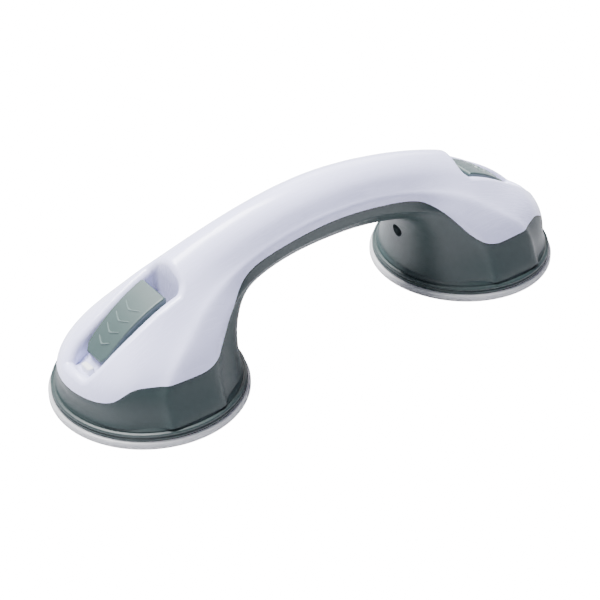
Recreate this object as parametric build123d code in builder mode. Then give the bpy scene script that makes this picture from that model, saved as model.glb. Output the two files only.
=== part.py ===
from build123d import *
from math import cos, hypot, pi, radians, sin
import os

# Suction grab bar: an arched hollow handle on two lever-locked suction cups.
# Millimetres. The bar lies along X, Z is up, and the cups' sealing faces are at z = 0.
# The right end (+X) is drawn; the left end is its mirror image in the YZ plane.

# ---- driving dimensions --------------------------------------------------------------
cup_x = 100.5                # centre of each cup from the middle of the bar
cup_radius = 49.5
cup_rim_height = 3.8         # thickness of the cup's sealing band
seal_inner_radius = 37.0
cavity_height = 7.5          # hollow under the locked cup
flange_radius = 48.0
plate_top = 5.8              # joint between pressure plate and lower shell
bell_foot = 9.0              # height where the bell rises from its flange
bell_bore_radius = 42.8
wall = 2.5                   # shell thickness
seam_gap = 0.35              # shadow gap between the upper and lower shells

lever_slope = 35.0           # degrees below horizontal when locked
lever_inner_u = -6.0         # u is measured outward from the cup axis
lever_inner_z = 56.3
lever_length = 44.0
lever_inner_half = 10.3
lever_outer_half = 8.4
lever_tip_thickness = 5.0
lever_crown = 3.0            # rise of the lever's top above the line between its ends
lever_edge_radius = 1.0
lever_hollow = [(10.8, -2.0), (24.0, -12.0)]    # its roof, from the pin, inner and outer end
lever_hollow_half = 6.0

pin_height = 46.0
pin_radius = 2.0
pin_half_length = 9.6
stud_radius = 5.0
eye_half_thickness = 4.0
post_travel = 3.5            # how far the cup's centre drops when the lever is open
seat_height = 36.5           # the face that the cam bears on
cam_clearance = 0.08
cam_plate_thickness = 1.5
running_clearance = 0.05

pocket_inner_u = -13.5
pocket_inner_half = 11.3
pocket_outer_half = 10.0
pocket_end_u = 29.0          # where the rounded end begins
pocket_rim_radius = 3.5
pocket_floor_bend = (11.0, 35.0)     # u and z where the floor starts down under the lever
pocket_floor_low = (33.5, 22.6)      # u and z of its lowest point
pocket_floor_lip = (44.0, 31.0)      # u and z where it runs out through the bell's flank
pocket_floor_radius = 5.0
tub_wall = 2.5
catch_u = 33.4               # small catch beyond the lever's tip

screw_spots = [(21.0, 22.0), (21.0, -22.0), (-19.0, 22.0), (-19.0, -22.0)]
web_bottom = 13.3
web_top = 15.8
screw_tip = 27.0
tower_radius = 8.5

# Stations of the body, from the right bell's foot to the middle of the bar:
# inner point (x, z), outer point (x, z), half width, exponent of the outer half's curve,
# and where between the two points the section is widest.
stations = [
    ((56.0, 9.0), (146.0, 9.0), 45.5, 2.0, 0.50),
    ((56.0, 18.0), (145.5, 18.0), 41.8, 2.0, 0.50),
    ((55.5, 26.0), (142.0, 28.0), 38.2, 2.0, 0.50),
    ((54.3, 33.0), (133.5, 36.5), 35.0, 1.9, 0.50),
    ((51.5, 40.3), (123.0, 44.6), 30.8, 1.75, 0.48),
    ((45.5, 45.6), (107.2, 56.7), 25.2, 1.65, 0.46),
    ((34.4, 47.2), (84.2, 68.2), 19.8, 1.70, 0.45),
    ((20.5, 48.4), (52.6, 77.6), 17.3, 1.80, 0.45),
    ((0.0, 49.3), (0.0, 83.9), 17.0, 1.90, 0.45),
]
mirrored_stations = [
    ((-inner[0], inner[1]), (-outer[0], outer[1]), half, power, share)
    for inner, outer, half, power, share in reversed(stations[:-1])
]
all_stations = stations + mirrored_stations

# Height of the seam between the shells, by distance outward from the cup axis.
seam_points = [
    (60.0, 20.0), (46.0, 20.0), (40.0, 20.3), (35.5, 21.8), (30.5, 25.0), (26.0, 27.2),
    (20.0, 27.8), (0.0, 27.8), (-10.0, 28.0), (-16.0, 30.0), (-22.0, 34.6), (-28.0, 41.6),
    (-34.0, 48.4), (-40.0, 53.8), (-46.0, 57.6), (-54.0, 60.4), (-67.0, 62.9),
    (-84.0, 65.2), (-cup_x, 66.2),
]


# ---- the body's inside and outside -------------------------------------------------------
def section_plane(station):
    """Plane of a section: local x runs along Y, local y from the inner to the outer point."""
    inner, outer, half, power, share = station
    reach_x, reach_z = outer[0] - inner[0], outer[1] - inner[1]
    origin = (inner[0] + share * reach_x, 0, inner[1] + share * reach_z)
    return Plane(origin=origin, x_dir=(0, 1, 0), z_dir=(reach_z, 0, -reach_x))


def half_points(reach, width, power, side):
    """Points along one half of a section, from +width to -width, on a superellipse."""
    points = []
    for step in range(9):
        angle = step * pi / 8
        across, up = cos(angle), abs(sin(angle))
        flat = abs(across) ** (2 / power) * (1 if across > 0 else -1)
        points.append((width * flat, side * reach * up ** (2 / power)))
    return points


def lofted_body(inset):
    """The whole arched body, drawn in by the inset."""
    with BuildPart() as body:
        for station in all_stations:
            inner, outer, half, power, share = station
            depth = hypot(outer[0] - inner[0], outer[1] - inner[1])
            width = half - inset
            outer_half = half_points((1 - share) * depth - inset, width, power, 1)
            inner_half = half_points(share * depth - inset, width, 2.0, -1)
            with BuildSketch(section_plane(station)):
                with BuildLine():
                    Spline(*outer_half, tangents=[(0, 1), (0, -1)])
                    Spline(*inner_half, tangents=[(0, -1), (0, 1)])
                make_face()
        loft()
    return body.part


outer_body = lofted_body(0.0)
inner_body = lofted_body(wall)


# ---- lever pocket ----------------------------------------------------------------------
def pocket_block(grow):
    """The right pocket's space, grown outward on every side by the given wall."""
    bend, low, lip = pocket_floor_bend, pocket_floor_low, pocket_floor_lip
    seat_bottom = seat_height - cam_plate_thickness
    with BuildPart() as block:
        with BuildSketch(Plane.XY.offset(low[1] - grow)) as plan:
            with BuildLine():
                Line((cup_x + pocket_inner_u, -pocket_inner_half),
                     (cup_x + pocket_end_u, -pocket_outer_half))
                ThreePointArc((cup_x + pocket_end_u, -pocket_outer_half),
                              (cup_x + pocket_end_u + pocket_outer_half, 0),
                              (cup_x + pocket_end_u, pocket_outer_half))
                Line((cup_x + pocket_end_u, pocket_outer_half),
                     (cup_x + pocket_inner_u, pocket_inner_half))
                Line((cup_x + pocket_inner_u, pocket_inner_half),
                     (cup_x + pocket_inner_u, -pocket_inner_half))
            make_face()
            fillet(plan.vertices().group_by(Axis.X)[0], radius=3.0)
            if grow > 0:
                offset(amount=grow)
        extrude(amount=80.0)
        with BuildSketch(Plane.XZ) as side:
            with BuildLine():
                Polyline(
                    (cup_x + pocket_inner_u - grow - 1, 95.0),
                    (cup_x + pocket_inner_u - grow - 1, seat_bottom - grow),
                    (cup_x + bend[0], bend[1] - grow),
                    (cup_x + low[0] + grow, low[1] - grow),
                    (cup_x + lip[0] + grow, lip[1] - grow),
                    (cup_x + lip[0] + grow, 95.0),
                    close=True,
                )
            make_face()
            corner = side.vertices().sort_by(Axis.Y)[0]
            fillet(corner, radius=pocket_floor_radius)
        extrude(amount=30.0, both=True, mode=Mode.INTERSECT)
    return block.part


right_pocket = pocket_block(0.0)
right_tub = pocket_block(tub_wall)
left_pocket = right_pocket.mirror(Plane.YZ)
left_tub = right_tub.mirror(Plane.YZ)

with BuildPart() as pocketed_body:
    add(outer_body)
    before = pocketed_body.edges()
    add(right_pocket, mode=Mode.SUBTRACT)
    add(left_pocket, mode=Mode.SUBTRACT)
    rims = []
    for edge in pocketed_body.edges() - before:
        middle = edge.position_at(0.5)
        on_wall = any(
            face.normal_at(middle).Z > 0.3 and face.area > 3000
            for face in pocketed_body.faces()
            if edge in face.edges()
        )
        if on_wall:
            rims.append(edge)
    fillet(rims, radius=pocket_rim_radius)


# ---- what lies above and below the seam ---------------------------------------------------
def seam_block(drop, above):
    """Everything above (or below) the seam surface, lowered by the given drop."""
    right_half = [(cup_x + u, z - drop) for u, z in seam_points]
    left_half = [(-x, z) for x, z in reversed(right_half[:-1])]
    far = 130.0 if above else -20.0
    start, end = right_half[0], left_half[-1]
    with BuildPart() as block:
        with BuildSketch(Plane.XZ):
            with BuildLine():
                Spline(*right_half, *left_half)
                Polyline(end, (end[0], far), (start[0], far), start)
            make_face()
        extrude(amount=70.0, both=True)
    return block.part


def at_both_ends(right_part):
    """A right-hand shape and its mirror image."""
    return [right_part, right_part.mirror(Plane.YZ)]


# The screw in the crotch under the grip climbs at a slant into the upper shell.
slant = 35.0
slant_mouth = (54.6, 0.0, 30.6)
slant_plane = Plane(origin=slant_mouth, x_dir=(0, 1, 0),
                    z_dir=(cos(radians(slant)), 0, sin(radians(slant))))
slant_joint = 9.0            # along the slanted axis, where the two shells' bosses meet


def slant_cylinder(radius, start, end):
    """A cylinder on the slanted screw's axis."""
    with BuildPart() as rod:
        with BuildSketch(slant_plane.offset(start)):
            Circle(radius)
        extrude(amount=end - start)
    return rod.part


def upright_cylinders(radius, bottom, top):
    """Cylinders at the four screws of the right pressure plate."""
    with BuildPart() as rods:
        with BuildSketch(Plane.XY.offset(bottom)):
            with Locations(*[(cup_x + u, y) for u, y in screw_spots]):
                Circle(radius)
        extrude(amount=top - bottom)
    return rods.part


with BuildPart() as upper_bosses:
    add(upright_cylinders(4.0, web_top, 60.0))
    add(slant_cylinder(4.0, slant_joint, 40.0))

# ---- upper shell ---------------------------------------------------------------------------
with BuildPart() as upper_hollow:
    add(inner_body)
    for tub in (right_tub, left_tub):
        add(tub, mode=Mode.SUBTRACT)
    for bosses in at_both_ends(upper_bosses.part):
        add(bosses, mode=Mode.SUBTRACT)

with BuildPart() as upper_reach:
    add(seam_block(0.0, True))
    for tub in (right_tub, left_tub):
        add(tub)
    for bosses in at_both_ends(upper_bosses.part):
        add(bosses)

with BuildPart() as right_upper_cuts:
    with BuildSketch(Plane.XY.offset(seat_height - 6.0)):
        with Locations((cup_x, 0)):
            Circle(tower_radius + 0.4)
    extrude(amount=6.0)
    add(upright_cylinders(1.5, web_top, screw_tip + 1.0))
    add(slant_cylinder(1.4, slant_joint, 25.0))
    with BuildSketch(Plane.XY.offset(17.0)):
        with Locations((cup_x + catch_u, 0)):
            Circle(1.2)
    extrude(amount=8.0)

with BuildPart() as upper_shell:
    add(pocketed_body.part)
    add(upper_hollow.part, mode=Mode.SUBTRACT)
    add(upper_reach.part, mode=Mode.INTERSECT)
    for cuts in at_both_ends(right_upper_cuts.part):
        add(cuts, mode=Mode.SUBTRACT)
upper_shell.part.label = "upper_shell"

# ---- lower shell ---------------------------------------------------------------------------
with BuildPart() as right_lower_extras:
    with BuildSketch(Plane.XZ.shift_origin((cup_x, 0, 0))):
        with BuildLine():
            Polyline(
                (bell_bore_radius, plate_top), (flange_radius - 0.5, plate_top),
                (flange_radius, 6.2), (flange_radius, 7.0), (47.6, 7.5), (46.7, 7.8),
                (46.5, 7.5), (46.0, 7.5), (45.8, 8.1), (44.4, bell_foot + 0.6),
                (bell_bore_radius, bell_foot + 0.6), close=True,
            )
        make_face()
    revolve(axis=Axis((cup_x, 0, 0), (0, 0, 1)))

with BuildPart() as lower_bosses:
    add(slant_cylinder(5.2, -6.0, slant_joint))
    add(outer_body, mode=Mode.INTERSECT)

with BuildPart() as lower_cuts:
    add(slant_cylinder(3.5, -8.0, 6.0))
    add(slant_cylinder(1.6, 0.0, slant_joint + 1.0))

with BuildPart() as lower_shell:
    add(outer_body)
    add(inner_body, mode=Mode.SUBTRACT)
    with BuildSketch(Plane.XY.offset(bell_foot - 1.0)):
        with Locations((cup_x, 0), (-cup_x, 0)):
            Circle(bell_bore_radius)
    extrude(amount=3.0, mode=Mode.SUBTRACT)
    add(seam_block(seam_gap, False), mode=Mode.INTERSECT)
    for extras in at_both_ends(right_lower_extras.part):
        add(extras)
    for bosses in at_both_ends(lower_bosses.part):
        add(bosses)
    for cuts in at_both_ends(lower_cuts.part):
        add(cuts, mode=Mode.SUBTRACT)
lower_shell.part.label = "lower_shell"


# ---- pressure plate: bears on the cup's back, guides the stud and carries the cam seat -----------
def at_cup(height=0.0):
    """The XZ plane through the right cup's axis, for profiles of radius and height."""
    return Plane.XZ.shift_origin((cup_x, 0, height))


right_axis = Axis((cup_x, 0, 0), (0, 0, 1))
tower_top = seat_height - cam_plate_thickness
stud_bore = stud_radius + running_clearance

with BuildPart() as right_pressure_plate:
    with BuildSketch(at_cup()):
        with BuildLine():
            Polyline(
                (36.5, cup_rim_height), (flange_radius - 0.4, cup_rim_height),
                (flange_radius, 4.2), (flange_radius, 5.2), (flange_radius - 0.6, plate_top),
                (39.0, plate_top), (36.0, web_top), (tower_radius, web_top),
                (tower_radius, tower_top), (stud_bore, tower_top), (stud_bore, web_bottom),
                (33.5, web_bottom), close=True,
            )
        make_face()
    revolve(axis=right_axis)
    for turn in (0, 90, 180, 270):
        outward = (cos(radians(turn)), sin(radians(turn)), 0)
        across = (sin(radians(turn)), -cos(radians(turn)), 0)
        with BuildSketch(Plane(origin=(cup_x, 0, 0), x_dir=outward, z_dir=across)):
            with BuildLine():
                Polyline((7.0, web_top - 0.5), (29.0, web_top - 0.5), (29.0, web_top + 1.0),
                         (7.0, 29.0), close=True)
            make_face()
        extrude(amount=0.9, both=True)
    add(upright_cylinders(1.6, 0.0, 30.0), mode=Mode.SUBTRACT)

# ---- suction cup, its stiffening disc and its pull stud -------------------------------------------
disc_bottom = 9.2
disc_top = 11.1
disc_radius = 15.0
foot_radius = 9.0
foot_bottom = 8.5
hub_top = 12.8
bond_gap = 0.1

with BuildPart() as right_suction_cup:
    with BuildSketch(at_cup()):
        with BuildLine():
            Line((0, cavity_height), (10.0, cavity_height))
            Spline((10.0, cavity_height), (25.0, 4.6), (seal_inner_radius, 0),
                   tangents=[(1, 0), (1, -0.3)])
            Polyline(
                (seal_inner_radius, 0), (cup_radius, 0), (cup_radius, 3.0),
                (cup_radius - 0.3, 3.5), (cup_radius - 0.9, cup_rim_height),
                (35.5, cup_rim_height), (26.0, 6.6), (20.0, 8.8), (18.5, hub_top),
                (stud_radius + bond_gap, hub_top), (stud_radius + bond_gap, disc_top + bond_gap),
                (disc_radius + bond_gap, disc_top + bond_gap),
                (disc_radius + bond_gap, disc_bottom - bond_gap),
                (foot_radius + bond_gap, disc_bottom - bond_gap),
                (foot_radius + bond_gap, foot_bottom - bond_gap), (0, foot_bottom - bond_gap),
                (0, cavity_height),
            )
        make_face()
    revolve(axis=right_axis)

with BuildPart() as right_hub_disc:
    with BuildSketch(Plane.XY.offset(disc_bottom)):
        with Locations((cup_x, 0)):
            Circle(disc_radius)
            Circle(stud_radius, mode=Mode.SUBTRACT)
    extrude(amount=disc_top - disc_bottom)

tongue_bottom = seat_height - 0.5
with BuildPart() as right_pull_stud:
    with BuildSketch(Plane.XY.offset(foot_bottom)):
        with Locations((cup_x, 0)):
            Circle(foot_radius)
    extrude(amount=disc_bottom - foot_bottom)
    with BuildSketch(Plane.XY.offset(disc_bottom)):
        with Locations((cup_x, 0)):
            Circle(stud_radius)
    extrude(amount=pin_height + stud_radius - disc_bottom)
    with BuildSketch(Plane.XY.offset(tongue_bottom)):
        with Locations((cup_x, 9.0), (cup_x, -9.0)):
            Rectangle(20.0, 2 * (9.0 - eye_half_thickness))
    extrude(amount=20.0, mode=Mode.SUBTRACT)
    with BuildSketch(at_cup(pin_height)):
        with Locations((0, 5.0)):
            Rectangle(20.0, 10.0)
        Circle(stud_radius, mode=Mode.SUBTRACT)
    extrude(amount=10.0, both=True, mode=Mode.SUBTRACT)
    with BuildSketch(at_cup(pin_height)):
        Circle(pin_radius)
    extrude(amount=10.0, both=True, mode=Mode.SUBTRACT)

# ---- cam plate, lever and pin -----------------------------------------------------------------------
with BuildPart() as right_cam_plate:
    with BuildSketch(Plane.XY.offset(tower_top)):
        with Locations((cup_x - 1.0, 0)):
            RectangleRounded(20.0, 20.4, 2.0)
        with Locations((cup_x, 0)):
            Circle(stud_radius + 0.3, mode=Mode.SUBTRACT)
    extrude(amount=cam_plate_thickness)

# The cam's reach below the pin shortens steadily as the lever lifts, so the pin sinks
# by post_travel over a quarter turn. Its outline is the curve with that reach.
cam_reach = pin_height - seat_height - cam_clearance
reach_per_radian = post_travel / (pi / 2)


def cam_point(turn):
    """Point of the cam that touches the seat when the lever has lifted by the turn."""
    reach = cam_reach - reach_per_radian * turn
    return (-reach * sin(turn) + reach_per_radian * cos(turn),
            -reach * cos(turn) - reach_per_radian * sin(turn))


down_x, down_z = cos(radians(lever_slope)), -sin(radians(lever_slope))
lever_top_inner = (lever_inner_u, lever_inner_z - pin_height)
lever_top_outer = (lever_top_inner[0] + lever_length * down_x,
                   lever_top_inner[1] + lever_length * down_z)
lever_top_middle = (
    (lever_top_inner[0] + lever_top_outer[0]) / 2 - lever_crown * down_z,
    (lever_top_inner[1] + lever_top_outer[1]) / 2 + lever_crown * down_x,
)
lever_tip_bottom = (lever_top_outer[0] + lever_tip_thickness * down_z,
                    lever_top_outer[1] - lever_tip_thickness * down_x)

slot_radius = stud_radius + 0.3


def lever_top_height(u):
    """Height of the straight line between the ends of the lever's top."""
    return pin_height + lever_top_inner[1] + (u - lever_inner_u) * down_z / down_x


with BuildPart() as right_lever:
    with BuildSketch(at_cup(pin_height)) as lever_side:
        with BuildLine():
            ThreePointArc(lever_top_inner, lever_top_middle, lever_top_outer)
            Polyline(lever_top_outer, lever_tip_bottom, (9.5, -cam_reach), cam_point(0))
            Spline(*[cam_point(pi / 2 * step / 9) for step in range(10)],
                   tangents=[(-1, 0), (0, 1)])
            Line(cam_point(pi / 2), lever_top_inner)
        make_face()
        fillet(lever_side.vertices().sort_by(Axis.Y)[-1], radius=1.5)
    extrude(amount=lever_inner_half, both=True)
    with BuildSketch(Plane.XY) as lever_plan:
        with BuildLine():
            Polyline(
                (cup_x + lever_inner_u, -lever_inner_half),
                (cup_x + lever_top_outer[0], -lever_outer_half),
                (cup_x + lever_top_outer[0], lever_outer_half),
                (cup_x + lever_inner_u, lever_inner_half), close=True,
            )
        make_face()
        chamfer(lever_plan.vertices().group_by(Axis.X)[-1], length=2.8)
    extrude(amount=80.0, mode=Mode.INTERSECT)
    outline = right_lever.edges()
    top_edges = [
        edge for edge in outline
        if edge.position_at(0.5).Z > pin_height + lever_top_outer[1] - 1.5
        and edge.position_at(0.5).Z > lever_top_height(edge.position_at(0.5).X - cup_x) - 1.2
    ]
    fillet(top_edges, radius=lever_edge_radius)
    with BuildSketch(at_cup(pin_height)):
        with BuildLine():
            CenterArc((0, 0), slot_radius, 0, 90)
            Polyline((0, slot_radius), (-12.0, slot_radius), (-12.0, -30.0), (9.0, -30.0),
                     (slot_radius, -9.0), (slot_radius, 0))
        make_face()
    extrude(amount=eye_half_thickness + 0.2, both=True, mode=Mode.SUBTRACT)
    with BuildSketch(at_cup(pin_height)):
        with BuildLine():
            Polyline((lever_hollow[0][0], -30.0), *lever_hollow,
                     (lever_hollow[1][0], -30.0), close=True)
        make_face()
    extrude(amount=lever_hollow_half, both=True, mode=Mode.SUBTRACT)
    with BuildSketch(at_cup(pin_height)):
        Circle(pin_radius + running_clearance)
    extrude(amount=20.0, both=True, mode=Mode.SUBTRACT)

with BuildPart() as right_lever_pin:
    with BuildSketch(at_cup(pin_height)):
        Circle(pin_radius)
    extrude(amount=pin_half_length, both=True)
    chamfer(right_lever_pin.edges().filter_by(GeomType.CIRCLE), length=0.4)

# ---- catch that the lever's tip snaps past, pegged into the pocket floor ------------------------------
with BuildPart() as right_lever_catch:
    with BuildSketch(Plane.XY.offset(18.0)):
        with Locations((cup_x + catch_u, 0)):
            RectangleRounded(3.6, 7.5, 1.2)
    extrude(amount=9.6)
    fillet(right_lever_catch.faces().sort_by(Axis.Z)[-1].edges(), radius=1.0)
    add(right_pocket, mode=Mode.INTERSECT)
    with BuildSketch(Plane.XY.offset(19.0)):
        with Locations((cup_x + catch_u, 0)):
            Circle(1.2)
    extrude(amount=5.0)

# ---- screws -----------------------------------------------------------------------------------------
with BuildPart() as right_plate_screws:
    add(upright_cylinders(3.0, web_bottom - 1.9, web_bottom))
    add(upright_cylinders(1.5, web_bottom - 0.5, screw_tip))

with BuildPart() as right_crotch_screw:
    add(slant_cylinder(3.1, 3.8, 6.0))
    add(slant_cylinder(1.4, 5.5, 24.0))

with BuildPart() as crotch_screws:
    for screw in at_both_ends(right_crotch_screw.part):
        add(screw)

# ---- both ends' pieces, and the files ------------------------------------------------------------------
finished = {
    "upper_shell": upper_shell.part,
    "lower_shell": lower_shell.part,
    "crotch_screws": crotch_screws.part,
}
end_pieces = {
    "pressure_plate": right_pressure_plate.part,
    "suction_cup": right_suction_cup.part,
    "hub_disc": right_hub_disc.part,
    "pull_stud": right_pull_stud.part,
    "cam_plate": right_cam_plate.part,
    "lever": right_lever.part,
    "lever_pin": right_lever_pin.part,
    "lever_catch": right_lever_catch.part,
    "plate_screws": right_plate_screws.part,
}
for name, piece in end_pieces.items():
    finished["right_" + name] = piece
    finished["left_" + name] = piece.mirror(Plane.YZ)

os.makedirs("parts", exist_ok=True)
for name, piece in finished.items():
    piece.label = name
    export_step(piece, "parts/" + name + ".step")
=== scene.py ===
from math import cos, pi, radians, sin, tan

import bmesh
import bpy
from mathutils import Matrix, Vector
from mathutils.bvhtree import BVHTree


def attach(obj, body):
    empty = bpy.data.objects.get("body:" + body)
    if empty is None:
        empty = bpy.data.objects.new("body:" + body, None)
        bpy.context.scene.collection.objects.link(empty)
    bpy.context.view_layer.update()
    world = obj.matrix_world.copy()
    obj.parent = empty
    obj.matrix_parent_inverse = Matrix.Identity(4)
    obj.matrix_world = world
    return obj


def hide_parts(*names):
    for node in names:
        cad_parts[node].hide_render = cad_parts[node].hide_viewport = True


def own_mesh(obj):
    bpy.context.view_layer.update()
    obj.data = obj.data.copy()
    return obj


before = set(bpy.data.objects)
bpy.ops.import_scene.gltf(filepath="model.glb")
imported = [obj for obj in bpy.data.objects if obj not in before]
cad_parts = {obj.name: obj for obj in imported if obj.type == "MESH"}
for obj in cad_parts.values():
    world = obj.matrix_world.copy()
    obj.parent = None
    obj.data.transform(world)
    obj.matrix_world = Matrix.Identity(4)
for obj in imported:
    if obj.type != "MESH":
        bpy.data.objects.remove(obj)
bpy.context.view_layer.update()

bl_info = {
    "name": "Suction grab bar",
    "version": (1, 0, 0),
    "blender": (4, 5, 0),
    "location": "View3D > Sidebar > Grab bar",
    "description": "Finishes, cups, grip marks and screws of a suction grab bar",
    "category": "Object",
}

MM = 0.001
SIDES = {"left": -1.0, "right": 1.0}
SHARP = radians(35)           # edges that turn more than this stay crisp
GRAIN_DEPTH = 0.08 * MM

# Sizes are in millimetres: heights from the wall, the rest from the bar's middle or a cup's axis.
CUP_X = 100.5                 # centre of each cup
SKIRT_LIP = 0.12              # gap under the dome's edge, where the sealing band begins
GROOVES = (40.6, 44.6)        # middle radius of each groove in the sealing face
GROOVE_HALF_FLOOR, GROOVE_HALF_MOUTH, GROOVE_DEPTH = 0.3, 0.6, 0.25
DOME_UNDERSIDE = [
    (0.0, 7.5), (10.0, 7.5), (14.0, 7.25), (18.0, 6.6), (22.0, 5.6), (26.0, 4.25),
    (30.0, 2.75), (33.5, 1.3),
]
DOME_SHOULDER = [(26.0, 6.6), (20.0, 8.8), (18.9, 10.4), (18.5, 12.5)]
HUB_RADIUS, HUB_TOP = 17.9, 13.1
STUD_HOLE = 5.1
DISC_RADIUS, DISC_FLOOR, DISC_CEILING = 15.3, 9.05, 12.35
FOOT_RADIUS, FOOT_FLOOR = 9.3, 8.0

# Grip marks: distance outward along the lever from its inner end, half width, and depth.
CHEVRONS = [(18.6, 6.2, 3.2), (25.8, 5.7, 3.1), (32.3, 5.2, 2.9), (38.2, 4.5, 2.5)]
LEVER_INNER_U = -6.0          # the lever's inner end, from the cup's centre
LEVER_SLOPE = radians(35.0)   # fall of the lever's top, locked
RIB_STEPS = 12
# The rib's section, as shares of its width and height. Its ends narrow by RIB_TAPER, from the
# share TAPER_FROM of its half width, and NOSE_ROUND softens its point.
RIB_SECTION = [(-0.5, -0.3), (-0.22, 1.0), (0.22, 1.0), (0.5, -0.3)]
RIB_TAPER, TAPER_FROM, NOSE_ROUND = 0.6, 0.8, 0.02
RAY_START = 0.2               # metres, above every piece

# Screws: head radius, head height, shank radius and length.
PLATE_SCREW = (3.0, 1.9, 1.3, 13.5)
PLATE_SCREW_ALONG, PLATE_SCREW_ACROSS, PLATE_SCREW_SEAT = (21.0, -19.0), (22.0, -22.0), 13.3
CROTCH_SCREW = (3.1, 2.2, 1.25, 17.8)
CROTCH_MOUTH_X, CROTCH_MOUTH_Z, CROTCH_SINK = 54.6, 30.6, 6.0
CROTCH_SLANT = radians(35.0)
SCREW_SEGMENTS = 48
SCREW_TIP, SCREW_TIP_RADIUS = 2.0, 0.3
# Cross recess: arm length and half width, as shares of the head's radius.
RECESS_MOUTH, RECESS_FOOT = (0.56, 0.15), (0.42, 0.11)
THREAD_PITCH, THREAD_STEPS, THREAD_SPARE = 1.1, 24, 3.5
# A thread's ridge: where it starts, half its foot, and its foot and crest from the shank's side.
THREAD_START, THREAD_HALF, THREAD_ROOT, THREAD_CREST = 0.6, 0.35, -0.1, 0.25

# The stage, in metres and watts.
FLOOR_HALF, FLOOR_DROP, FLOOR_GLOW = 4.0, 0.0002, 16.0
SOFTBOXES = (
    ("top_softbox", (-0.15, 0.45, 1.25), (1.1, 0.5), 95.0),
    ("front_softbox", (-1.1, -0.7, 1.0), (0.8, 0.8), 7.0),
    ("far_softbox", (0.9, 0.9, 0.7), (0.9, 0.6), 9.0),
)
LIGHT_AIM = Vector((0, 0, 0.04))
CAMERA_AIM = Vector((0.002228, 0.014603, 0.0))
CAMERA_AZIMUTH, CAMERA_ELEVATION, CAMERA_AWAY = radians(-36.887), radians(34.857), 0.90308
CAMERA_LENS, CAMERA_SENSOR = 103.23, 36.0


# ---- sizes and colours that a user may change ------------------------------------------------
class GrabBarCups(bpy.types.PropertyGroup):
    """Sizes of the soft suction cups."""

    steps: bpy.props.IntProperty(
        name="Steps round", description="Facets round each cup", default=144, min=24, max=256)
    band_height: bpy.props.FloatProperty(
        name="Band height", description="Thickness of the sealing band",
        default=3.8 * MM, unit="LENGTH")
    band_inner: bpy.props.FloatProperty(
        name="Band inner radius", description="Where the sealing band meets the soft dome",
        default=36.5 * MM, unit="LENGTH")
    band_outer: bpy.props.FloatProperty(
        name="Band outer radius", description="Outside of the sealing band",
        default=49.5 * MM, unit="LENGTH")
    sink_keep: bpy.props.FloatProperty(
        name="Sunk height", description="Share of the dome's height left when a lever is open",
        default=0.62, min=0.1, max=1.0, subtype="FACTOR")


class GrabBarMarks(bpy.types.PropertyGroup):
    """Sizes of the grip marks on the levers."""

    rib_width: bpy.props.FloatProperty(
        name="Rib width", description="Width of a raised mark", default=0.9 * MM, unit="LENGTH")
    rib_height: bpy.props.FloatProperty(
        name="Rib height", description="How far a mark stands proud", default=0.4 * MM,
        unit="LENGTH")


class GrabBarColours(bpy.types.PropertyGroup):
    """Colours of the finishes."""

    shell: bpy.props.FloatVectorProperty(
        name="Upper shell", description="Cool white of the upper shell",
        default=(0.70, 0.71, 0.99), size=3, min=0.0, max=1.0, subtype="COLOR")
    grey: bpy.props.FloatVectorProperty(
        name="Lower shell", description="Green-grey of the lower shell",
        default=(0.022, 0.038, 0.038), size=3, min=0.0, max=1.0, subtype="COLOR")
    lever: bpy.props.FloatVectorProperty(
        name="Lever", description="Green-grey of the levers",
        default=(0.050, 0.078, 0.075), size=3, min=0.0, max=1.0, subtype="COLOR")
    # The grip marks' paler grey is painted highlight. It stands in for the light caught on the ribs'
    # edges, and is not rubbed wear.
    mark: bpy.props.FloatVectorProperty(
        name="Grip mark", description="Rubbed, paler grey of the raised grip marks",
        default=(0.120, 0.165, 0.158), size=3, min=0.0, max=1.0, subtype="COLOR")
    rubber: bpy.props.FloatVectorProperty(
        name="Cup", description="Milky clear rubber of the cups",
        default=(0.74, 0.75, 0.77), size=3, min=0.0, max=1.0, subtype="COLOR")


# ---- shared effects ------------------------------------------------------------------------------
def new_group(name, inputs, outputs):
    """An empty shader node group with named inputs and outputs."""
    group = bpy.data.node_groups.new(name, "ShaderNodeTree")
    for label, kind, value in inputs:
        socket = group.interface.new_socket(name=label, in_out="INPUT", socket_type=kind)
        if value is not None:
            socket.default_value = value
    for label, kind in outputs:
        group.interface.new_socket(name=label, in_out="OUTPUT", socket_type=kind)
    return group, group.nodes.new("NodeGroupInput"), group.nodes.new("NodeGroupOutput")


def arithmetic(tree, kind, first, second):
    """A Math node whose inputs are sockets or plain numbers."""
    node = tree.nodes.new("ShaderNodeMath")
    node.operation = kind
    for slot, value in zip(node.inputs, (first, second)):
        if isinstance(value, bpy.types.NodeSocket):
            tree.links.new(value, slot)
        else:
            slot.default_value = value
    return node.outputs[0]


def moulded_grain():
    """Fine spark-eroded grain of a moulding tool, as a height."""
    group, ins, outs = new_group(
        "moulded_grain",
        [("Vector", "NodeSocketVector", None), ("Scale", "NodeSocketFloat", 2200.0),
         ("Coarse share", "NodeSocketFloat", 0.3)],
        [("Height", "NodeSocketFloat")])
    links = group.links
    fine = group.nodes.new("ShaderNodeTexNoise")
    fine.inputs["Detail"].default_value = 4.0
    links.new(ins.outputs["Vector"], fine.inputs["Vector"])
    links.new(ins.outputs["Scale"], fine.inputs["Scale"])
    pits = group.nodes.new("ShaderNodeTexVoronoi")
    links.new(ins.outputs["Vector"], pits.inputs["Vector"])
    links.new(arithmetic(group, "MULTIPLY", ins.outputs["Scale"], 0.45), pits.inputs["Scale"])
    coarse = arithmetic(group, "MULTIPLY", pits.outputs["Distance"], ins.outputs["Coarse share"])
    links.new(arithmetic(group, "ADD", fine.outputs["Fac"], coarse), outs.inputs["Height"])
    return group


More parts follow.
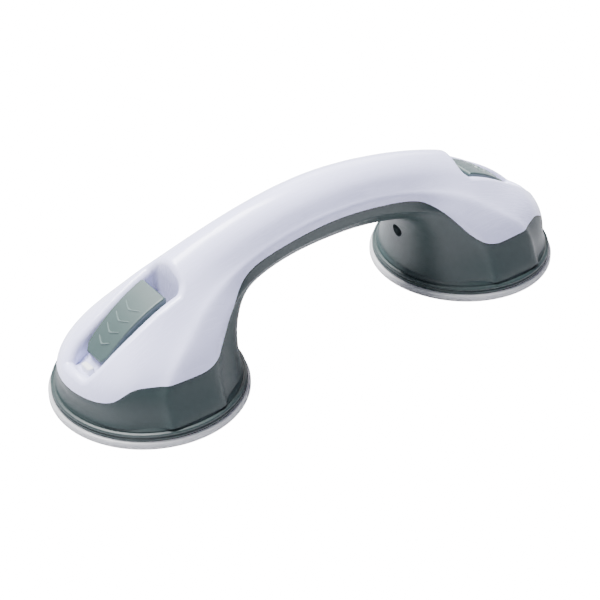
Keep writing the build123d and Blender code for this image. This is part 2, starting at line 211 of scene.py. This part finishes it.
def flow_tone():
    """Slow drift of tone that plastic shows where it flowed into the mould."""
    group, ins, outs = new_group(
        "flow_tone",
        [("Vector", "NodeSocketVector", None), ("Scale", "NodeSocketFloat", 14.0),
         ("Colour", "NodeSocketColor", (0.5, 0.5, 0.5, 1.0)),
         ("Deep colour", "NodeSocketColor", (0.4, 0.4, 0.4, 1.0))],
        [("Colour", "NodeSocketColor")])
    links = group.links
    drift = group.nodes.new("ShaderNodeTexNoise")
    drift.inputs["Detail"].default_value = 2.0
    drift.inputs["Distortion"].default_value = 0.6
    links.new(ins.outputs["Vector"], drift.inputs["Vector"])
    links.new(ins.outputs["Scale"], drift.inputs["Scale"])
    spread = group.nodes.new("ShaderNodeMapRange")
    spread.inputs["From Min"].default_value = 0.35
    spread.inputs["From Max"].default_value = 0.68
    links.new(drift.outputs["Fac"], spread.inputs["Value"])
    mix = group.nodes.new("ShaderNodeMix")
    mix.data_type = "RGBA"
    links.new(spread.outputs["Result"], mix.inputs[0])
    links.new(ins.outputs["Colour"], mix.inputs[6])
    links.new(ins.outputs["Deep colour"], mix.inputs[7])
    links.new(mix.outputs[2], outs.inputs["Colour"])
    return group


def hand_wear():
    """Faint rubbed patches and hairline marks, as a roughness."""
    group, ins, outs = new_group(
        "hand_wear",
        [("Vector", "NodeSocketVector", None), ("Roughness", "NodeSocketFloat", 0.4),
         ("Spread", "NodeSocketFloat", 0.08), ("Scale", "NodeSocketFloat", 40.0)],
        [("Roughness", "NodeSocketFloat")])
    links = group.links
    rubbed = group.nodes.new("ShaderNodeTexNoise")
    rubbed.inputs["Detail"].default_value = 3.0
    links.new(ins.outputs["Vector"], rubbed.inputs["Vector"])
    links.new(ins.outputs["Scale"], rubbed.inputs["Scale"])
    stretch = group.nodes.new("ShaderNodeMapping")
    stretch.inputs["Scale"].default_value = (0.15, 6.0, 1.0)
    links.new(ins.outputs["Vector"], stretch.inputs["Vector"])
    hairs = group.nodes.new("ShaderNodeTexNoise")
    links.new(stretch.outputs["Vector"], hairs.inputs["Vector"])
    links.new(arithmetic(group, "MULTIPLY", ins.outputs["Scale"], 7.0), hairs.inputs["Scale"])
    both = arithmetic(group, "ADD", rubbed.outputs["Fac"], hairs.outputs["Fac"])
    centred = arithmetic(group, "SUBTRACT", both, 1.0)
    swing = arithmetic(group, "MULTIPLY", centred, ins.outputs["Spread"])
    links.new(arithmetic(group, "ADD", ins.outputs["Roughness"], swing), outs.inputs["Roughness"])
    return group


EFFECTS = {}


def effect(name):
    """A shared effect, built the first time that a finish asks for it."""
    makers = {"moulded_grain": moulded_grain, "flow_tone": flow_tone, "hand_wear": hand_wear}
    if name not in EFFECTS:
        EFFECTS[name] = makers[name]()
    return EFFECTS[name]


def place_effect(tree, name, vector, **values):
    """A shared effect placed in a finish, with this finish's own values."""
    node = tree.nodes.new("ShaderNodeGroup")
    node.node_tree = effect(name)
    tree.links.new(vector, node.inputs["Vector"])
    for label, value in values.items():
        node.inputs[label.replace("_", " ")].default_value = value
    return node


# ---- finishes ---------------------------------------------------------------------------------------
def moulded_finish(name, colour, deep_share, roughness, spread, grain_scale, bump, **plain):
    """A moulded material: drifting tone, worn roughness and a fine grain."""
    material = bpy.data.materials.new(name)
    material.use_nodes = True
    tree = material.node_tree
    shader = tree.nodes["Principled BSDF"]
    place = tree.nodes.new("ShaderNodeTexCoord").outputs["Object"]
    deep = tuple(channel * deep_share for channel in colour)
    tone = place_effect(tree, "flow_tone", place, Colour=(*colour, 1.0), Deep_colour=(*deep, 1.0))
    tree.links.new(tone.outputs["Colour"], shader.inputs["Base Color"])
    wear = place_effect(tree, "hand_wear", place, Roughness=roughness, Spread=spread)
    tree.links.new(wear.outputs["Roughness"], shader.inputs["Roughness"])
    grain = place_effect(tree, "moulded_grain", place, Scale=grain_scale)
    relief = tree.nodes.new("ShaderNodeBump")
    relief.inputs["Strength"].default_value = bump
    relief.inputs["Distance"].default_value = GRAIN_DEPTH
    tree.links.new(grain.outputs["Height"], relief.inputs["Height"])
    tree.links.new(relief.outputs["Normal"], shader.inputs["Normal"])
    for label, value in plain.items():
        shader.inputs[label.replace("_", " ")].default_value = value
    return material


def finishes(colours):
    """Every finish of the bar by name."""
    return {
        "shell_white": moulded_finish(
            "shell_white", tuple(colours.shell), 0.965, 0.27, 0.05, 1500.0, 0.05,
            Coat_Weight=0.25, Coat_Roughness=0.12),
        "satin_grey": moulded_finish(
            "satin_grey", tuple(colours.grey), 0.90, 0.44, 0.09, 2400.0, 0.28),
        "lever_grey": moulded_finish(
            "lever_grey", tuple(colours.lever), 0.90, 0.40, 0.10, 2600.0, 0.30),
        # Paler grey of the grip marks: painted highlight for the light on the ribs' edges.
        "mark_painted_highlight_grey": moulded_finish(
            "mark_painted_highlight_grey", tuple(colours.mark), 0.88, 0.34, 0.10, 2600.0, 0.20),
        "cup_rubber": moulded_finish(
            "cup_rubber", tuple(colours.rubber), 0.94, 0.30, 0.06, 900.0, 0.06,
            Transmission_Weight=0.35, IOR=1.45, Subsurface_Weight=0.3,
            Subsurface_Radius=(1.0, 1.0, 1.0), Subsurface_Scale=0.002),
        "turned_steel": moulded_finish(
            "turned_steel", (0.58, 0.59, 0.60), 0.88, 0.28, 0.14, 5200.0, 0.18, Metallic=1.0),
        "nylon": moulded_finish(
            "nylon", (0.62, 0.61, 0.56), 0.93, 0.48, 0.08, 2000.0, 0.2),
        "catch_milky": moulded_finish(
            "catch_milky", (0.70, 0.71, 0.74), 0.95, 0.38, 0.06, 2200.0, 0.12),
    }


NODE_FINISH = {
    "upper_shell": "shell_white", "lower_shell": "satin_grey", "pressure_plate": "satin_grey",
    "lever": "lever_grey", "lever_pin": "turned_steel", "hub_disc": "turned_steel",
    "pull_stud": "nylon", "cam_plate": "nylon", "lever_catch": "catch_milky",
    "suction_cup": "cup_rubber", "crotch_screws": "turned_steel",
    "plate_screws": "turned_steel",
}
MADE = {}


def finish_named(context, name):
    """A finish, made with the chosen colours the first time that a piece asks for it."""
    if not MADE:
        MADE.update(finishes(context.scene.grab_bar_colours))
    return MADE[name]


def new_piece(context, name, bm, finish, body):
    """A finished piece at the origin, riding on its body."""
    bmesh.ops.remove_doubles(bm, verts=bm.verts, dist=1e-6)
    bmesh.ops.recalc_face_normals(bm, faces=bm.faces)
    mesh = bpy.data.meshes.new(name)
    bm.to_mesh(mesh)
    bm.free()
    if not mesh.polygons:
        raise RuntimeError(name + " came out with no faces")
    mesh.shade_smooth()
    mesh.set_sharp_from_angle(angle=SHARP)
    mesh.materials.append(finish_named(context, finish))
    piece = bpy.data.objects.new(name, mesh)
    context.scene.collection.objects.link(piece)
    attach(piece, body)
    return piece


def spun_profile(profile, centre_x, steps, closed=True):
    """A ring or a disc, from a few points of radius and height in millimetres."""
    bm = bmesh.new()
    corners = [bm.verts.new((centre_x + r * MM, 0.0, z * MM)) for r, z in profile]
    edges = [bm.edges.new(pair) for pair in zip(corners, corners[1:])]
    if closed:
        edges.append(bm.edges.new((corners[-1], corners[0])))
    bmesh.ops.spin(
        bm, geom=corners + edges, cent=(centre_x, 0, 0), axis=(0, 0, 1), dvec=(0, 0, 0),
        angle=2 * pi, steps=steps, use_merge=True, use_duplicate=False)
    return bm


# ---- operators ---------------------------------------------------------------------------------------
class GRABBAR_OT_finishes(bpy.types.Operator):
    """Give every moulded and metal part its finish"""

    bl_idname = "grabbar.finishes"
    bl_label = "Part finishes"

    def execute(self, context):
        for name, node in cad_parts.items():
            plain = name.removeprefix("left_").removeprefix("right_")
            node.data.materials.clear()
            node.data.materials.append(finish_named(context, NODE_FINISH[plain]))
        return {"FINISHED"}


class GRABBAR_OT_cups(bpy.types.Operator):
    """Make the sealing bands and the soft domes of both suction cups"""

    bl_idname = "grabbar.cups"
    bl_label = "Suction cups"

    def execute(self, context):
        sizes = context.scene.grab_bar_cups
        inner, outer = sizes.band_inner / MM, sizes.band_outer / MM
        top = sizes.band_height / MM
        band = [(inner, SKIRT_LIP), (37.2, 0.0)]
        for middle in GROOVES:
            band += [
                (middle - GROOVE_HALF_MOUTH, 0.0), (middle - GROOVE_HALF_FLOOR, GROOVE_DEPTH),
                (middle + GROOVE_HALF_FLOOR, GROOVE_DEPTH), (middle + GROOVE_HALF_MOUTH, 0.0),
            ]
        band += [
            (outer - 0.7, 0.0), (outer - 0.2, 0.2), (outer, 0.7), (outer, 2.7),
            (outer - 0.25, 3.3), (outer - 0.8, 3.7), (outer - 1.5, top), (inner, top),
        ]
        dome = [
            *DOME_UNDERSIDE, (inner, SKIRT_LIP), (inner, top), (35.5, top), *DOME_SHOULDER,
            (HUB_RADIUS, HUB_TOP), (STUD_HOLE, HUB_TOP), (STUD_HOLE, DISC_CEILING),
            (DISC_RADIUS, DISC_CEILING), (DISC_RADIUS, DISC_FLOOR), (FOOT_RADIUS, DISC_FLOOR),
            (FOOT_RADIUS, FOOT_FLOOR), (0.0, FOOT_FLOOR),
        ]
        for side, sign in SIDES.items():
            centre = sign * CUP_X * MM
            ring = new_piece(
                context, side + "_cup_rim", spun_profile(band, centre, sizes.steps),
                "cup_rubber", "root")
            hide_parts(side + "_suction_cup")
            skin = new_piece(
                context, side + "_cup_dome",
                spun_profile(dome, centre, sizes.steps, closed=False),
                "cup_rubber", "root")
            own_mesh(skin)
        return {"FINISHED"}


class GRABBAR_OT_marks(bpy.types.Operator):
    """Make the raised grip marks on both levers"""

    bl_idname = "grabbar.marks"
    bl_label = "Grip marks"

    def execute(self, context):
        sizes = context.scene.grab_bar_marks
        for side, sign in SIDES.items():
            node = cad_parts[side + "_lever"]
            surface = BVHTree.FromPolygons(
                [v.co.copy() for v in node.data.vertices],
                [tuple(p.vertices) for p in node.data.polygons])
            for number, (along, half, depth) in enumerate(CHEVRONS, start=1):
                bm = self.mark(surface, sign, along, half, depth, sizes)
                # Each mark takes the paler finish that paints the highlight on its edges.
                new_piece(context, f"{side}_grip_mark_{number}", bm, "mark_painted_highlight_grey",
                          side + "_lever_body")
        return {"FINISHED"}

    def mark(self, surface, sign, along, half, depth, sizes):
        """One raised mark: its line, drawn once for each corner of the rib's section."""
        bm = bmesh.new()
        width, proud = sizes.rib_width, sizes.rib_height
        loops = []
        for across, lift in RIB_SECTION:
            corners = []
            for step in range(RIB_STEPS + 1):
                t = 2.0 * step / RIB_STEPS - 1.0
                taper = 1.0 - RIB_TAPER * max(0.0, abs(t) - TAPER_FROM) / (1.0 - TAPER_FROM)
                back = depth * (1.0 - (t * t + NOSE_ROUND) ** 0.5)
                reach = (along - depth + back) * MM + across * width * taper
                u = LEVER_INNER_U * MM + reach * cos(LEVER_SLOPE)
                x, y = sign * (CUP_X * MM + u), t * half * MM
                hit, normal, _, _ = surface.ray_cast(
                    Vector((x, y, RAY_START)), Vector((0, 0, -1)))
                if hit is None:
                    raise RuntimeError("a grip mark misses the lever")
                rise = proud * lift * (taper if lift > 0 else 1.0)
                corners.append(bm.verts.new(hit + normal * rise))
            loops.append([bm.edges.new(pair) for pair in zip(corners, corners[1:])])
        for first, second in zip(loops, loops[1:] + loops[:1]):
            bmesh.ops.bridge_loops(bm, edges=first + second)
        bmesh.ops.holes_fill(bm, edges=bm.edges, sides=4)
        return bm


def cross_radius(angle, arm, half):
    """Distance from the middle of a cross recess to its edge."""
    folded = (angle + pi / 4) % (pi / 2) - pi / 4
    if abs(tan(folded)) * arm <= half:
        return arm / cos(folded)
    return half / abs(sin(folded))


class GRABBAR_OT_screws(bpy.types.Operator):
    """Make the slanted screws under the grip and the four screws of each pressure plate"""

    bl_idname = "grabbar.screws"
    bl_label = "Screws"

    def execute(self, context):
        for side, sign in SIDES.items():
            bm = bmesh.new()
            for u in PLATE_SCREW_ALONG:
                for y in PLATE_SCREW_ACROSS:
                    spot = Matrix.Translation((sign * (CUP_X + u), y, PLATE_SCREW_SEAT))
                    self.add_screw(bm, spot, PLATE_SCREW)
            bmesh.ops.scale(bm, vec=(MM, MM, MM), verts=bm.verts)
            piece = new_piece(context, side + "_pressure_plate_screws", bm, "turned_steel",
                              "root")
            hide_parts(side + "_plate_screws")
            bm = bmesh.new()
            along = Vector((sign * cos(CROTCH_SLANT), 0, sin(CROTCH_SLANT)))
            mouth = Vector((sign * CROTCH_MOUTH_X, 0, CROTCH_MOUTH_Z))
            turn = along.to_track_quat("Z", "Y").to_matrix().to_4x4()
            seat = Matrix.Translation(mouth + along * CROTCH_SINK)
            self.add_screw(bm, seat @ turn, CROTCH_SCREW)
            bmesh.ops.scale(bm, vec=(MM, MM, MM), verts=bm.verts)
            piece = new_piece(context, side + "_crotch_screw", bm, "turned_steel",
                              "root")
            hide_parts("crotch_screws")
        return {"FINISHED"}

    def add_screw(self, bm, place, sizes):
        """A cross-headed screw: the head hangs below the place, and the threaded shank climbs."""
        head_radius, head_height, shank_radius, length = sizes
        recess = [head_radius * share for share in RECESS_MOUTH]
        foot = [head_radius * share for share in RECESS_FOOT]
        rows = [
            (shank_radius, None, length - SCREW_TIP), (shank_radius, None, 0.0),
            (head_radius, None, 0.0), (head_radius, None, -0.5 * head_height),
            (head_radius * 0.93, None, -0.8 * head_height),
            (head_radius * 0.78, None, -head_height),
            (None, recess, -head_height), (None, foot, -0.3 * head_height),
        ]
        made = bmesh.ops.create_circle(
            bm, segments=SCREW_SEGMENTS, radius=SCREW_TIP_RADIUS, cap_ends=True)
        ring = made["verts"]
        bmesh.ops.translate(bm, verts=ring, vec=(0, 0, length))
        edges = list({e for v in ring for e in v.link_edges})
        new = set(ring)
        for radius, cross, height in rows:
            result = bmesh.ops.extrude_edge_only(bm, edges=edges)
            fresh = [g for g in result["geom"] if isinstance(g, bmesh.types.BMVert)]
            edges = [g for g in result["geom"] if isinstance(g, bmesh.types.BMEdge)
                     and all(v in fresh for v in g.verts)]
            for vert in fresh:
                flat = Vector((vert.co.x, vert.co.y))
                angle = pi / 2 if flat.length < 1e-9 else flat.angle_signed(Vector((1, 0)))
                reach = radius if cross is None else cross_radius(angle, *cross)
                vert.co = (*(flat.normalized() * reach), height)
            new.update(fresh)
        bmesh.ops.contextual_create(bm, geom=edges)
        turns = int((length - THREAD_SPARE) / THREAD_PITCH)
        root, crest = shank_radius + THREAD_ROOT, shank_radius + THREAD_CREST
        ridge = [bm.verts.new((radius, 0, height)) for radius, height in (
            (root, THREAD_START), (crest, THREAD_START + THREAD_HALF),
            (root, THREAD_START + 2 * THREAD_HALF))]
        tooth = bm.faces.new(ridge)
        before = set(bm.verts) - set(ridge)
        bmesh.ops.spin(bm, geom=[tooth], cent=(0, 0, 0), axis=(0, 0, 1),
                       dvec=(0, 0, THREAD_PITCH / THREAD_STEPS), angle=2 * pi * turns,
                       steps=THREAD_STEPS * turns,
                       use_merge=False, use_duplicate=False)
        new.update(set(bm.verts) - before)
        bmesh.ops.transform(bm, matrix=place, verts=list(new))


class GRABBAR_OT_stage(bpy.types.Operator):
    """Set the pale floor, the soft lights and the camera"""

    bl_idname = "grabbar.stage"
    bl_label = "Stage"

    def execute(self, context):
        scene = context.scene
        bm = bmesh.new()
        bmesh.ops.create_grid(bm, x_segments=1, y_segments=1, size=FLOOR_HALF)
        bmesh.ops.translate(bm, verts=bm.verts, vec=(0, 0, -FLOOR_DROP))
        mesh = bpy.data.meshes.new("floor")
        bm.to_mesh(mesh)
        bm.free()
        floor = bpy.data.objects.new("floor", mesh)
        scene.collection.objects.link(floor)
        paper = bpy.data.materials.new("floor_paper")
        paper.use_nodes = True
        shader = paper.node_tree.nodes["Principled BSDF"]
        shader.inputs["Base Color"].default_value = (0.55, 0.55, 0.58, 1.0)
        shader.inputs["Roughness"].default_value = 0.9
        shader.inputs["Specular IOR Level"].default_value = 0.0
        shader.inputs["Emission Color"].default_value = (1.0, 1.0, 1.0, 1.0)
        only_seen = paper.node_tree.nodes.new("ShaderNodeLightPath")
        glow = arithmetic(
            paper.node_tree, "MULTIPLY", only_seen.outputs["Is Camera Ray"], FLOOR_GLOW)
        paper.node_tree.links.new(glow, shader.inputs["Emission Strength"])
        mesh.materials.append(paper)

        world = bpy.data.worlds.new("studio")
        world.use_nodes = True
        scene.world = world
        sky = world.node_tree.nodes["Background"]
        sky.inputs["Color"].default_value = (0.62, 0.65, 1.0, 1.0)
        sky.inputs["Strength"].default_value = 0.24

        for name, place, size, energy in SOFTBOXES:
            lamp = bpy.data.lights.new(name, "AREA")
            lamp.shape = "RECTANGLE"
            lamp.size, lamp.size_y = size
            lamp.energy = energy
            holder = bpy.data.objects.new(name, lamp)
            holder.location = place
            towards = LIGHT_AIM - Vector(place)
            holder.rotation_euler = towards.to_track_quat("-Z", "Y").to_euler()
            scene.collection.objects.link(holder)

        back = Vector((sin(CAMERA_AZIMUTH) * cos(CAMERA_ELEVATION),
                       -cos(CAMERA_AZIMUTH) * cos(CAMERA_ELEVATION), sin(CAMERA_ELEVATION)))
        lens = bpy.data.cameras.new("camera")
        lens.lens = CAMERA_LENS
        lens.sensor_width = CAMERA_SENSOR
        camera = bpy.data.objects.new("camera", lens)
        camera.location = CAMERA_AIM + back * CAMERA_AWAY
        camera.rotation_euler = (-back).to_track_quat("-Z", "Y").to_euler()
        scene.collection.objects.link(camera)
        scene.camera = camera
        return {"FINISHED"}


class GRABBAR_PT_panel(bpy.types.Panel):
    """Sizes, colours and pieces of the grab bar"""

    bl_idname = "GRABBAR_PT_panel"
    bl_label = "Grab bar"
    bl_space_type = "VIEW_3D"
    bl_region_type = "UI"
    bl_category = "Grab bar"

    def draw(self, context):
        for group in (context.scene.grab_bar_cups, context.scene.grab_bar_marks,
                      context.scene.grab_bar_colours):
            box = self.layout.box()
            for name in group.bl_rna.properties.keys():
                if name not in ("rna_type", "name"):
                    box.prop(group, name)
        for operator in OPERATORS:
            self.layout.operator(operator.bl_idname)


GROUPS = {
    "grab_bar_cups": GrabBarCups,
    "grab_bar_marks": GrabBarMarks,
    "grab_bar_colours": GrabBarColours,
}
OPERATORS = [GRABBAR_OT_finishes, GRABBAR_OT_cups, GRABBAR_OT_marks, GRABBAR_OT_screws,
             GRABBAR_OT_stage]


def register():
    for cls in [*GROUPS.values(), *OPERATORS, GRABBAR_PT_panel]:
        bpy.utils.register_class(cls)
    for name, cls in GROUPS.items():
        setattr(bpy.types.Scene, name, bpy.props.PointerProperty(type=cls))


def unregister():
    for name in GROUPS:
        delattr(bpy.types.Scene, name)
    for cls in [GRABBAR_PT_panel, *reversed(OPERATORS), *reversed(list(GROUPS.values()))]:
        bpy.utils.unregister_class(cls)


def main():
    register()
    bpy.ops.grabbar.finishes()
    bpy.ops.grabbar.cups()
    bpy.ops.grabbar.marks()
    bpy.ops.grabbar.screws()
    bpy.ops.grabbar.stage()


if __name__ == "__main__":
    main()
